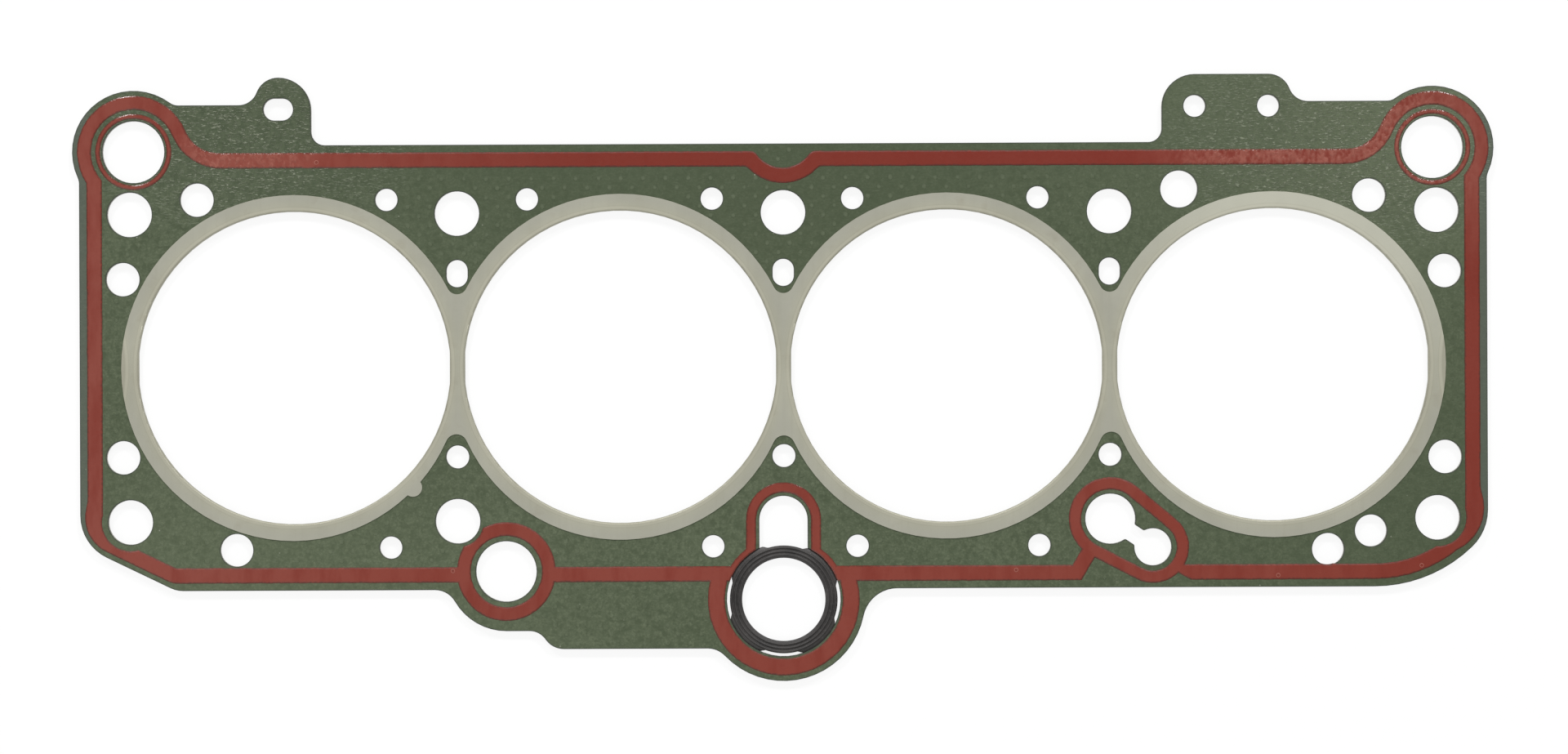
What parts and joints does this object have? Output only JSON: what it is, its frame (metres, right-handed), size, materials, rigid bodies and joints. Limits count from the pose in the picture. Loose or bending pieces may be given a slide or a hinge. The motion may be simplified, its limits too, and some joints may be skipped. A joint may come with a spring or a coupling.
{
  "type": "cylinder head gasket",
  "caption": "Flat sheet gasket with a folded metal flange round its cylinder bores, printed sealing beads and a moulded rubber ring.",
  "frame": {"origin": "the middle of the four outer head bolt holes, half way through the sheet", "axes": "+X runs along the row of bores, +Y across it toward the two ears, and +Z out of the head side"},
  "size_m": [0.3834, 0.1633, 0.002],
  "materials": {
    "gasket_sheet": "olive-green pressed fibre facing, satin",
    "flange_steel": "dull tin-grey sheet steel, lightly stained",
    "seal_bead": "brick-red printed silicone, satin",
    "oil_ring_rubber": "black moulded rubber, satin"
  },
  "bodies": {
    "root": {"gasket_sheet": "gasket_sheet", "combustion_flange": "flange_steel", "upper_seal_bead": "seal_bead", "lower_seal_bead": "seal_bead", "upper_port_ring_left": "seal_bead", "upper_port_ring_right": "seal_bead", "lower_port_ring_left": "seal_bead", "lower_port_ring_right": "seal_bead", "oil_seal_ring": "oil_ring_rubber"}
  },
  "joints": []
}
